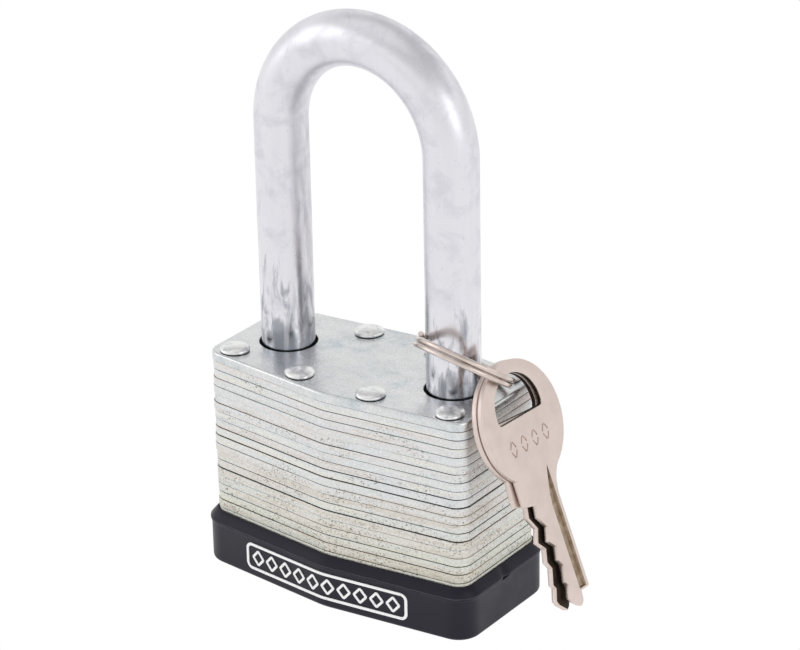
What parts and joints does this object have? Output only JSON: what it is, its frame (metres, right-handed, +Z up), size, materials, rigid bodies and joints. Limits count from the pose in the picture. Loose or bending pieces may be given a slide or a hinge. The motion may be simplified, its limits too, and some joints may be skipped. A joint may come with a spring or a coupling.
{
  "type": "laminated padlock",
  "caption": "Laminated padlock with a long round shackle, a moulded bumper, working locking levers and keys on a split ring.",
  "frame": {"origin": "middle of the bumper's flat underside, on the plug's axis", "axes": "+Z up along the shackle's legs, +X towards the toe leg and the keys, the front face towards -Y"},
  "size_m": [0.0687, 0.0296, 0.0985],
  "materials": {
    "zinc_sheet": "zinc plated rolled sheet, dull satin with faint cool and warm tints",
    "zinc_top": "galvanised sheet, satin",
    "shackle_plate": "bright zinc plated round bar, satin",
    "rivet_steel": "zinc plated, domed",
    "bumper_black": "moulded black, fine satin grain",
    "key_nickel": "nickel plated, satin, warm tint",
    "spring_wire": "bright spring wire",
    "inner_steel": "plain steel",
    "marking_white": "white paint on the raised marking",
    "brass": "machined brass"
  },
  "bodies": {
    "lock_body": {"plate_01": "zinc_top", "plate_02": "zinc_sheet", "plate_03": "zinc_sheet", "plate_04": "zinc_sheet", "plate_05": "zinc_sheet", "plate_06": "zinc_sheet", "plate_07": "zinc_sheet", "plate_08": "zinc_sheet", "plate_09": "zinc_sheet", "plate_10": "zinc_sheet", "plate_11": "zinc_sheet", "plate_12": "zinc_sheet", "plate_13": "zinc_sheet", "plate_14": "zinc_sheet", "plate_15": "zinc_sheet", "plate_16": "zinc_sheet", "plate_17": "zinc_sheet", "plate_18": "zinc_sheet", "plate_19": "zinc_sheet", "plate_20": "zinc_sheet", "plate_21": "zinc_sheet", "plate_22": "zinc_sheet", "plate_23": "zinc_sheet", "plate_24": "zinc_sheet", "bumper": "bumper_black", "rivets": "rivet_steel", "heel_retainer": "inner_steel", "cylinder_housing": "brass", "chamber_cap": "brass", "driver_pins": "brass", "pin_springs": "spring_wire", "lever_spring": "spring_wire"},
    "shackle_body": {"shackle": "shackle_plate", "shackle_spring": "spring_wire"},
    "plug_body": {"plug": "brass", "plug_clip": "inner_steel", "tailpiece": "inner_steel", "key_pins": "brass"},
    "lever_left_body": {"lever_left": "inner_steel"},
    "lever_right_body": {"lever_right": "inner_steel"},
    "ring_body": {"key_ring": "spring_wire"},
    "key_front_body": {"key_front": "key_nickel"},
    "key_rear_body": {"key_rear": "key_nickel"}
  },
  "joints": [
    {"name": "shackle_lift", "type": "slide", "parent": "lock_body", "child": "shackle_body", "axis": [0, 0, 1], "range_m": [0, 0.0114], "deforming": ["shackle_spring"]},
    {"name": "plug_turn", "type": "hinge", "parent": "lock_body", "child": "plug_body", "pos_m": [0, 0, 0.0135], "axis": [0, 0, 1], "range_deg": [0, 90], "deforming": ["lever_spring"]},
    {"name": "lever_left_slide", "type": "slide", "parent": "lock_body", "child": "lever_left_body", "axis": [-1, 0, 0], "range_m": [0, 0.0018]},
    {"name": "lever_right_slide", "type": "slide", "parent": "lock_body", "child": "lever_right_body", "axis": [1, 0, 0], "range_m": [0, 0.0018]},
    {"name": "ring_slide", "type": "slide", "parent": "lock_body", "child": "ring_body", "axis": [0, 0, 1], "range_m": [0, 0.02]},
    {"name": "key_front_swing", "type": "hinge", "parent": "ring_body", "child": "key_front_body", "pos_m": [0.0259, 0.0022, 0.0412], "axis": [0, -1, 0], "range_deg": [0, 14]},
    {"name": "key_rear_swing", "type": "hinge", "parent": "ring_body", "child": "key_rear_body", "pos_m": [0.0259, 0.0022, 0.0412], "axis": [0, -1, 0], "range_deg": [0, 14]}
  ],
  "couplings": [
    {"joint": "plug_turn", "follows": "lever_left_slide", "rad_per_m": 872.66},
    {"joint": "lever_right_slide", "follows": "lever_left_slide", "ratio": 1},
    {"joint": "key_rear_swing", "follows": "key_front_swing", "ratio": 1}
  ]
}
